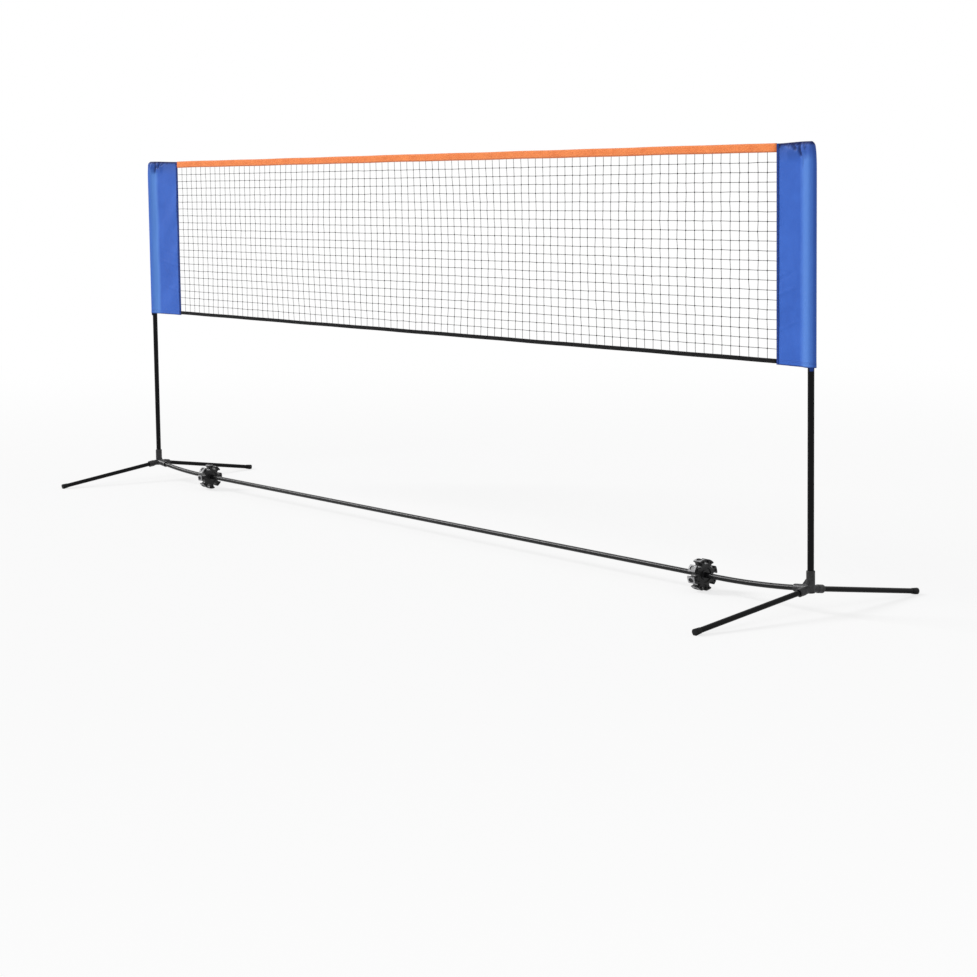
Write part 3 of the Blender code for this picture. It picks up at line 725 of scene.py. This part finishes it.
def holder(side, sign):
    """Clip rack on the bar: eased edges, a cored ring round the bar and a dimple in every lobe."""
    piece = copy_of(f"tube_holder_{side}", f"clip_rack_{side}")
    ease(piece, HOLDER_EASE, segments=2, sharper_than=70)
    x, level = sign * (HALF_SPAN - HOLDER_INSET[side]), along((1, 0, 0))
    for face in (-1, 1):
        end = x + face * HOLDER_LENGTH / 2
        cores = [primitive("cylinder", "core", vertices=20, radius=CORE_RADIUS, depth=CORE_DEPTH,
                           location=(end, LOBE_PITCH * math.sin(turn),
                                     BAR_Z - LOBE_PITCH * math.cos(turn)), rotation=level)
                 for turn in lobe_turns(side)]
        carve(piece, joined(cores, "cores"))
        ring = primitive("cylinder", "ring", vertices=48, radius=RING_RADIUS, depth=RING_DEPTH,
                         end_fill_type="NOTHING", location=(end, 0, BAR_Z), rotation=level)
        modify(ring, "SOLIDIFY", thickness=RING_WIDTH, offset=-1)
        carve(piece, ring)
    dishes = []
    for turn in lobe_turns(side):
        way = Vector((0, math.sin(turn), -math.cos(turn)))
        dish = primitive("cylinder", "dish", vertices=32, radius=DISH_RADIUS, depth=DISH_DEPTH,
                         location=Vector((x, 0, BAR_Z)) + LOBE_FACE * way, rotation=along(way))
        bpy.ops.transform.resize(value=(DISH_STRETCH, 1.0, 1.0), center_override=dish.location)
        dishes.append(dish)
    carve(piece, joined(dishes, "dishes"))
    settle(piece, 30)
    dress(piece, glossy, f"holder_{side}", "dark_plastic", f"tube_holder_{side}")


# ---------------------------------------- sewn pieces


def flat_cut(name, width, length, across, up, spread=None):
    """A flat grid and the places of its points on the cut, which also become its map."""
    piece = primitive("grid", name, x_subdivisions=across, y_subdivisions=up, size=1.0,
                      calc_uvs=True)
    points = points_of(piece)
    s, t = points[:, 0] + 0.5, points[:, 1] + 0.5
    if spread:
        t = spread(t)
    s, t = s * width, t * length
    loops = np.empty(len(piece.data.loops), dtype=np.int64)
    piece.data.loops.foreach_get("vertex_index", loops)
    corners = np.stack([s[loops], t[loops]], axis=1)
    piece.data.uv_layers[0].data.foreach_set("uv", corners.ravel())
    return piece, s, t


def shift_map(piece, across=0.0, up=0.0):
    """Move a piece's map so that its own middle line is zero."""
    data = piece.data.uv_layers[0].data
    flat = np.empty(len(data) * 2)
    data.foreach_get("uv", flat)
    flat = flat.reshape(-1, 2) - (across, up)
    data.foreach_set("uv", flat.ravel())


def sewn(piece, points, thickness):
    """Lay a cut's points in their places and give the cloth its thickness."""
    move_points(piece, points)
    modify(piece, "SOLIDIFY", thickness=thickness, offset=0)
    return settle(piece, 180)


def half_section(width):
    """The sleeve's front outline from its sewn edge to its outer fold: (outward, depth, run)."""
    flat = np.linspace(-width, 0, 400)
    share = 0.5 + 0.5 * np.cos(np.pi * np.clip(-flat / SLEEVE_TAPER, 0, 1))
    edge = smoothstep((flat + width) / 0.010)
    depth = SEAM_DEPTH * edge + (SLEEVE_DEPTH - SEAM_DEPTH) * share
    turn = np.linspace(0, np.pi / 2, 60)[1:]
    outward = np.concatenate([flat, SLEEVE_OUTSIDE * np.sin(turn)])
    depth = np.concatenate([depth, SLEEVE_DEPTH * np.cos(turn)])
    run = np.concatenate([[0], np.cumsum(np.hypot(np.diff(outward), np.diff(depth)))])
    return outward, depth, run


def crease(x, below, line, width, depth):
    """A fold along a line on the cloth, from (x, below) to (x, below), dying out at its ends."""
    start, end = np.array(line[:2]), np.array(line[2:])
    length = np.hypot(*(end - start))
    way = (end - start) / length
    reach = ((x - start[0]) * way[0] + (below - start[1]) * way[1]) / length
    off = (x - start[0]) * -way[1] + (below - start[1]) * way[0]
    fade = smoothstep(reach / 0.15 + 1) * (1 - smoothstep((reach - 0.6) / 0.4))
    return depth * fade * np.exp(-((off / width) ** 2))


# Folds that run from the closed top towards the pole: line, width and height, in millimetres.
TOP_FOLDS = {
    "right": [((-90, 2, -57, 30), 6.0, -8.0), ((-76, 1, -44, 26), 4.2, 3.0),
              ((-50, 8, -40, 54), 6.0, -8.2), ((-34, 4, -24, 50), 3.8, 2.6),
              ((-116, 2, -84, 20), 4.0, -3.2), ((-24, 5, -10, 30), 3.4, -4.0),
              ((-66, 2, -55, 16), 3.6, -4.6), ((-30, 40, -33, 92), 5.0, -1.6),
              ((-138, 2, -124, 26), 4.2, -1.8)],
    "left": [((-100, 3, -73, 40), 6.4, -8.0), ((-44, 4, -74, 40), 6.4, -8.2),
             ((-70, 2, -73, 24), 4.6, 3.0), ((-57, 24, -36, 60), 5.8, -6.6),
             ((-31, 8, -22, 66), 4.2, 3.0), ((-20, 5, -10, 34), 3.6, -4.0),
             ((-130, 2, -98, 24), 4.6, -3.4), ((-84, 1, -90, 18), 3.8, -4.2),
             ((-170, 2, -140, 20), 4.8, -2.0)],
}
PANEL_WAVE = 0.0008
SAG, SAG_BELOW = 0.0080, 0.024  # fullness of the loose cloth just under the closed top
GATHER, GATHER_PITCH = 0.0014, 0.0125
SEAM_PUCKER = 0.0007
FULL_FOLD_SHADE = 0.0056  # depth at which a fold's painted shade is darkest
FOLD_SEED = {"front": 3, "rear": 8}


def folds(x, below, side, seed):
    """How far the cloth stands out from its plain section, and painted shade in its folds, darker
    where they go deeper.
    """
    width = SLEEVE_WIDTH[side]
    noise = np.random.default_rng(seed)
    panel = smoothstep((x + width) / 0.03) * (1 - smoothstep((x + 0.05) / 0.03))
    out = 0.0 * x
    for _ in range(5):  # long waves of the flat panel
        long, tilt = noise.uniform(0.16, 0.42), noise.uniform(-1.6, 1.6)
        phase = noise.uniform(0, 2 * np.pi)
        out = out + panel * PANEL_WAVE * np.sin(2 * np.pi * (below + tilt * x) / long + phase)
    loose = smoothstep((x + 0.125) / 0.03) * (1 - smoothstep((x + 0.022) / 0.018))
    out = out + SAG * loose * np.exp(-(((below - SAG_BELOW) / SAG_BELOW) ** 2))
    creased = 0.0 * x
    for line, wide, deep in TOP_FOLDS[side]:
        line = (np.array(line) + noise.uniform(-2, 2, 4)) / 1000
        creased = creased + crease(x, below, line, wide / 1000, deep / 1000)
    gather = GATHER * np.exp(-below / 0.012) * (1 - smoothstep(x / 0.01 + 1))
    turn = 2 * np.pi * (x + 0.15 * below) / GATHER_PITCH + noise.uniform(0, 6)
    gathered = gather * np.sin(turn)
    pucker = np.sin(2 * np.pi * below / 0.031 + 1.2 * np.sin(below * 19))
    pucker = pucker + 0.5 * np.sin(2 * np.pi * below / 0.0137)
    out = out + SEAM_PUCKER * np.exp(-(x + width) / 0.014) * pucker
    for _ in range(5):  # faint creases from the seam to the pole
        at = noise.uniform(0.12, 0.66)
        line = (-width + 0.004, at, -0.045, at + noise.uniform(-0.06, 0.05))
        out = out + crease(x, below, line, 0.006, noise.uniform(-0.0013, 0.0015))
    # painted shade: darker the deeper a fold goes in
    fold_shade_mask = np.clip(-(creased + 0.6 * gathered) / FULL_FOLD_SHADE, 0, 1)
    return out + creased + gathered, fold_shade_mask


def top_line(x, width):
    """Height of the sleeve's closed top edge, which dips a little at both of its corners."""
    dip = 0.0045 * smoothstep(np.clip(-x - 0.02, 0, None) / (width - 0.02))
    return NET_TOP - dip - 0.0016 * np.clip(x / SLEEVE_OUTSIDE, 0, 1) ** 2


def sleeve_point(x, depth, share, way, side):
    """Places on the sleeve, and the painted shade of the folds there.

    x is how far out a place lies, depth its plain section, share its part of the height from the
    top, and way -1 on the front and 1 on the rear.
    """
    width = SLEEVE_WIDTH[side]
    top = top_line(x, width)
    bottom = SLEEVE_BOTTOM + 0.0012 * smoothstep(-x / width)
    below = share * (top - bottom)
    front, front_fold_shade = folds(x, below, side, FOLD_SEED["front"])
    rear, rear_fold_shade = folds(x, below, side, FOLD_SEED["rear"])
    taken = smoothstep(below / 0.004) * (1 - smoothstep(x / 0.012))  # no folds past the pole
    lift = np.where(way < 0, front, rear) * taken
    pinch = np.where(way < 0, front_fold_shade, rear_fold_shade) * taken

    opened = quarter_round((below - 0.0015) / 0.0155)  # shut at the top, open 17 mm below it
    filled = depth * (0.90 + 0.10 * smoothstep(below / 0.075)) + lift
    loose = SHUT_DEPTH + (np.clip(filled, SHUT_DEPTH, None) - SHUT_DEPTH) * opened
    closed = SHUT_DEPTH * np.sqrt(np.clip(depth / SLEEVE_DEPTH, 0, 1))
    tight = closed + (filled - closed) * opened
    stand = np.where(x > 0, np.clip(tight, 0, None), loose)
    outward = np.where(x > 0, x * (1 - 0.64 * np.exp(-below / 0.022)), x)
    edge = smoothstep((x + width) / 0.004)
    above_hem = smoothstep((top - bottom - below - SLEEVE_HEM) / 0.0020)
    hem = 0.0005 * (1 - above_hem) * (depth > 0.001)
    y = way * (stand + hem) * edge
    return np.stack([SIDES[side] * (HALF_SPAN + outward), y, top - below], axis=1), pinch


def seam_binding(side, height, run, depth):
    """Strip folded over the sleeve's sewn edge."""
    piece, s, t = flat_cut(f"seam_binding_{side}", BINDING_WIDTH, height, across=24, up=170)
    shift_map(piece, BINDING_WIDTH / 2)
    s = s - BINDING_WIDTH / 2
    way, off = np.where(s < 0, -1.0, 1.0), np.abs(s)
    inner = np.clip(off - 0.0011, 0, None)  # what is left beyond the turn round the edge
    points, _ = sleeve_point(inner - SLEEVE_WIDTH[side], np.interp(inner, run, depth),
                             1 - t / height, way, side)
    points[:, 1] += way * 0.0010 * quarter_round(off / 0.0014)
    points[:, 0] -= SIDES[side] * 0.0012 * np.exp(-off / 0.0008)
    sewn(piece, points, BINDING_THICKNESS)
    return dress(piece, binding_cloth(), "net_carriage", "blue_cloth")


def hem_tab(side, finish):
    """Short strip folded upwards under the sleeve's lower edge, in front of the pole."""
    piece, s, t = flat_cut(f"hem_tab_{side}", TAB_WIDTH, TAB_LENGTH, across=10, up=30)
    shift_map(piece, TAB_WIDTH / 2)
    bend = 0.0014  # half of the turn at the tab's lower end
    turn = SIDES[side] * (TAB_TURN + (s - TAB_WIDTH / 2) / 0.015)
    rise = np.abs(t - TAB_LENGTH / 2)
    bent = np.clip(bend - rise, 0, None) / bend
    apart = np.where(t < TAB_LENGTH / 2, 0.0016, 0.0) * (1 - bent) + 0.0008 * bent
    radius = TAB_RADIUS + apart + 0.0008 * smoothstep(rise / 0.02)
    z = TAB_BOTTOM + np.clip(rise - bend, 0, None) + bend * (1 - np.sqrt(1 - bent ** 2))
    x, y = SIDES[side] * HALF_SPAN + radius * np.sin(turn), -radius * np.cos(turn)
    sewn(piece, np.stack([x, y, z], axis=1), TAB_THICKNESS)
    return dress(piece, finish, "net_carriage", "blue_cloth")


def sleeve(side):
    """Sleeve sewn from one flat cut, folded round the pole and closed at its top and inner edge."""
    outward, depth, run = half_section(SLEEVE_WIDTH[side])
    girth, height = 2 * run[-1], NET_TOP - SLEEVE_BOTTOM
    columns = 2 * round(run[-1] / SLEEVE_COLUMN[side])

    def closer_upwards(v):
        return 1 - (1 - v) * (0.32 + 0.68 * (1 - v))

    piece, s, t = flat_cut(f"cloth_sleeve_{side}", girth, height, columns, SLEEVE_ROWS,
                           spread=closer_upwards)
    way = np.where(s < girth / 2, -1.0, 1.0)
    reach = np.minimum(s, girth - s)
    points, pinch = sleeve_point(np.interp(reach, run, outward), np.interp(reach, run, depth),
                                 1 - t / height, way, side)
    move_points(piece, points)
    piece.data.attributes.new("pinch", "FLOAT", "POINT").data.foreach_set("value", pinch)
    with editing(piece):
        bpy.ops.mesh.select_all(action="SELECT")
        bpy.ops.mesh.remove_doubles(threshold=SEAM_WELD)
        bpy.ops.mesh.normals_make_consistent(inside=False)
    modify(piece, "SOLIDIFY", thickness=CLOTH, offset=-1)
    settle(piece, 180)
    cloth = sleeve_cloth(side, girth, height, float(np.interp(0, outward, run)))
    dress(piece, cloth, "net_carriage", "blue_cloth", f"sleeve_{side}")
    binding = seam_binding(side, height, run, depth)
    tab = hem_tab(side, binding.data.materials[0])


# ---------------------------------------- net


def sway_of(x, amount, seed):
    """A slow, uneven wave along the net."""
    noise = np.random.default_rng(seed)
    total = 0.0 * x
    for long in (1.7, 0.83, 0.41):
        height = noise.uniform(0.5, 1)
        total = total + height * np.sin(2 * np.pi * x / long + noise.uniform(0, 6))
    ends = smoothstep((x - NET_LEFT) / 0.15) * smoothstep((NET_RIGHT - x) / 0.15)
    return amount * total * ends


def top_sway(x):
    """The sway that the tape shares with the top of the net."""
    return sway_of(x, 0.0007, seed=5)


def top_tape():
    """Webbing folded over the net's top cord; its two edges are sewn together below."""
    drop = TAPE_TOP - TAPE_BOTTOM
    middle = drop + TAPE_TURN
    piece, s, t = flat_cut("orange_band", NET_LENGTH, 2 * middle, BAND_COLUMNS, BAND_ROWS)
    shift_map(piece, 0.0, middle)
    way, lower = np.where(t < middle, -1.0, 1.0), np.abs(t - middle)
    x = NET_LEFT + s
    crest = quarter_round(lower / 0.0024)
    belly = 0.0004 * np.sin(np.pi * np.clip(lower / drop, 0, 1))
    y = way * (0.0013 * crest + belly) + top_sway(x)
    z = TAPE_TOP - np.clip(lower - TAPE_TURN, 0, None) + sway_of(x, 0.0004, seed=6)
    z = np.minimum(z - 0.0006 * (1 - crest), TAPE_TOP)
    sewn(piece, np.stack([x, y, z], axis=1), TAPE_THICKNESS)
    return dress(piece, orange_webbing(), "net_carriage", "orange_tape", "top_tape")


def bottom_hem():
    """Binding round the net's lowest cord, thicker where it wraps the cord."""
    tall = HEM_TOP - HEM_BOTTOM
    middle = tall + HEM_TURN
    piece, s, t = flat_cut("black_hem", NET_LENGTH, 2 * middle, BAND_COLUMNS, BAND_ROWS)
    shift_map(piece, 0.0, middle)
    way, off = np.where(t < middle, -1.0, 1.0), np.abs(t - middle)
    rise = np.clip(off - HEM_TURN, 0, None)
    turn = np.clip(off / HEM_TURN, 0, 1) * np.pi / 2
    x = NET_LEFT + s
    half = np.where(rise > 0, HEM_BEAD - 0.0010 * smoothstep(rise / 0.006), HEM_BEAD * np.sin(turn))
    z = HEM_BOTTOM + np.where(rise > 0, HEM_BEAD + rise * (tall - HEM_BEAD) / tall,
                              HEM_BEAD * (1 - np.cos(turn)))
    y = way * half + sway_of(x, 0.0006, seed=7)
    z = z + sway_of(x, 0.0003, seed=9)
    sewn(piece, np.stack([x, y, z], axis=1), HEM_THICKNESS)
    return dress(piece, black_webbing(), "net_carriage", "black_cord", "bottom_hem")


def drawn(points):
    """Pull points of the net a little out of true, alike for every cord that meets there."""
    column, row = (points[:, 0] - NET_LEFT) / PITCH_X, (points[:, 2] - HEM_TOP) / PITCH_Z
    noise = np.random.default_rng(seed=11).normal(0, 1, (3, COLUMNS + 3, ROWS + 3))
    i = np.clip(np.round(column), 0, COLUMNS).astype(int)
    j = np.clip(np.round(row), 0, ROWS).astype(int)
    inside = (i > 0) & (i < COLUMNS) & (j > 0) & (j < ROWS)
    slack = (np.sin(np.pi * np.clip(row / ROWS, 0, 1))
             * np.sin(np.pi * np.clip(column / COLUMNS, 0, 1)))
    moved = points.copy()
    for axis, share in ((0, 1.0), (1, 1.6), (2, 1.0)):
        moved[:, axis] += np.where(inside, share * CORD_DRAW * noise[axis][i, j], 0)
    belly = 0.010 * np.sin(2 * np.pi * points[:, 0] / 2.3 + 0.8)
    moved[:, 1] += slack * belly
    moved[:, 1] += top_sway(points[:, 0]) * smoothstep(row / ROWS)
    return moved


def cord_run(name, start, end, knots, count, step):
    """Straight run of cord with a ring of points at every knot, repeated count times."""
    start, end = Vector(start), Vector(end)
    axis = (end - start).normalized()
    piece = primitive("cylinder", name, vertices=CORD_SIDES, radius=CORD / 2,
                      depth=(end - start).length, location=(start + end) / 2, rotation=along(axis))
    with editing(piece):
        for knot in knots:
            slice_all(knot, axis)
    settle(piece, 70)
    repeat(piece, count, step)
    return piece


def net(tape, hem):
    """Square mesh of knotted cord: one upright, one level cord and one knot, each repeated."""
    lowest = HEM_TOP + PITCH_Z
    upright = cord_run("upright", (NET_LEFT, 0, HEM_TOP - CORD_INTO_HEM),
                       (NET_LEFT, 0, TAPE_BOTTOM + CORD_INTO_TAPE),
                       [(0, 0, HEM_TOP + row * PITCH_Z) for row in range(ROWS + 1)],
                       COLUMNS + 1, (PITCH_X, 0, 0))
    level = cord_run("level", (NET_LEFT, 0, lowest), (NET_RIGHT, 0, lowest),
                     [(NET_LEFT + column * PITCH_X, 0, 0) for column in range(1, COLUMNS)],
                     ROWS - 1, (0, 0, PITCH_Z))
    cords = joined([upright, level], "net_cords")
    move_points(cords, drawn(points_of(cords)))
    twisted = twine()
    dress(settle(cords, 70), twisted, "net_carriage", "black_cord", "net_mesh")

    knots = primitive("uv_sphere", "net_knots", segments=7, ring_count=5, radius=KNOT_RADIUS,
                      location=(NET_LEFT + PITCH_X, 0, lowest),
                      rotation=(0, math.radians(38), 0), scale=(1.0, 0.85, 1.32))
    settle(knots, 70)
    repeat(knots, COLUMNS - 1, (PITCH_X, 0, 0))
    repeat(knots, ROWS - 1, (0, 0, PITCH_Z))
    move_points(knots, drawn(points_of(knots)))
    dress(settle(knots, 70), twisted, "net_carriage", "black_cord")


# ---------------------------------------- inside the poles


def leaf_spring(side):
    """Spring behind a button, which closes up as the button is pressed."""
    node = f"button_spring_{side}"
    piece = copy_of(node, f"leaf_spring_{side}")
    settle(piece, 30)
    dress(piece, steel, "net_carriage", "spring_steel", node)
    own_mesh(piece)


def keep(finish, node):
    """Show a CAD node as it is, in a finish."""
    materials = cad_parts[node].data.materials
    materials.clear()
    materials.append(finish)


legs()
bars()
lower_posts()
connectors()
for side, sign in SIDES.items():
    for end, way in ENDS.items():
        foot_cap(side, sign, end, way)
for side, sign in SIDES.items():
    holder(side, sign)
for side in SIDES:
    sleeve(side)
    keep(coat, f"upper_post_{side}")
    keep(plastic, f"pole_cap_{side}")
    keep(steel, f"height_button_{side}")
for side, sign in SIDES.items():
    leaf_spring(side)
net(top_tape(), bottom_hem())

# ---------------------------------------- floor, light and camera

WHITE = (1.0, 1.0, 1.0, 1.0)
ROOM_LIGHT = 0.47  # strength of the room on the object; it is seen and mirrored as white
SUNS = {  # strength, spread in degrees, and the way to the light
    "front": (0.80, 40, (0.42, -0.74, 0.53)),
    "left": (2.0, 22, (-0.73, -0.42, 0.54)),
}


def floor():
    """Matt pale floor round the object, which turns to plain white further out."""
    piece = primitive("plane", "floor", size=60, location=(0, 0, 0))
    pale = bpy.data.materials.new("pale_floor")
    pale.use_nodes = True
    tree = pale.node_tree
    tree.nodes.remove(tree.nodes["Principled BSDF"])
    start = Shade(tree)
    seen = start.node("ShaderNodeLightPath", out="Is Camera Ray")
    matt = start.node("ShaderNodeBsdfDiffuse", values={"Color": (0.90, 0.90, 0.90, 1.0)})
    white = start.node("ShaderNodeEmission", values={"Color": WHITE, "Strength": 1.0})
    spot = start.node("ShaderNodeTexCoord", out="Object")
    far = start.node("ShaderNodeVectorMath", {"operation": "LENGTH"}, [spot], out="Value")
    fade = start.node("ShaderNodeMapRange", {"interpolation_type": "SMOOTHSTEP"}, {
        "Value": far, "From Min": 2.5, "From Max": 9.0, "To Min": 0.70, "To Max": 1.0})
    mixed = start.node("ShaderNodeMixShader", values={0: seen * fade, 1: matt, 2: white})
    tree.links.new(mixed.socket, tree.nodes["Material Output"].inputs["Surface"])
    piece.data.materials.append(pale)


def lights():
    """Bright even room and two soft suns."""
    world = bpy.data.worlds.new("white_room")
    bpy.context.scene.world = world
    world.use_nodes = True
    tree = world.node_tree
    start = Shade(tree)
    shown = 0.0
    for ray in ("Is Camera Ray", "Is Glossy Ray", "Is Transmission Ray"):
        shown = start.maths("MAXIMUM", shown, start.node("ShaderNodeLightPath", out=ray))
    background = tree.nodes["Background"]
    background.inputs["Color"].default_value = WHITE
    strength = shown * (1 - ROOM_LIGHT) + ROOM_LIGHT
    tree.links.new(strength.socket, background.inputs["Strength"])

    for name, (energy, spread, way) in SUNS.items():
        light = bpy.data.lights.new(name, "SUN")
        light.energy, light.angle = energy, math.radians(spread)
        lamp = bpy.data.objects.new(name, light)
        lamp.rotation_euler = along(way)
        bpy.context.scene.collection.objects.link(lamp)


def camera():
    """The viewing angle of the photograph, as fitted to its posts, bar, legs, tape and hem."""
    pixels, focal, middle_y = 977, 2146.2, 389.0
    eye, yaw, pitch, roll = (7.096, -5.080, 1.432), 0.9168, -0.0962, -0.0127
    lens = bpy.data.cameras.new("camera")
    lens.sensor_width = 36.0
    lens.lens = focal / pixels * lens.sensor_width
    lens.shift_y = (middle_y - pixels / 2) / pixels
    lens.clip_end = 200
    ahead = Vector((-math.sin(yaw) * math.cos(pitch), math.cos(yaw) * math.cos(pitch),
                    math.sin(pitch)))
    level = Vector((math.cos(yaw), math.sin(yaw), 0))
    upright = level.cross(ahead)
    right = math.cos(roll) * level + math.sin(roll) * upright
    up = -math.sin(roll) * level + math.cos(roll) * upright
    made = bpy.data.objects.new("camera", lens)
    turn = Matrix((right, up, -ahead)).transposed()
    made.matrix_world = Matrix.Translation(eye) @ turn.to_4x4()
    bpy.context.scene.collection.objects.link(made)
    bpy.context.scene.camera = made


floor()
lights()
camera()
bpy.context.scene.view_settings.view_transform = "Standard"
bpy.context.view_layer.update()
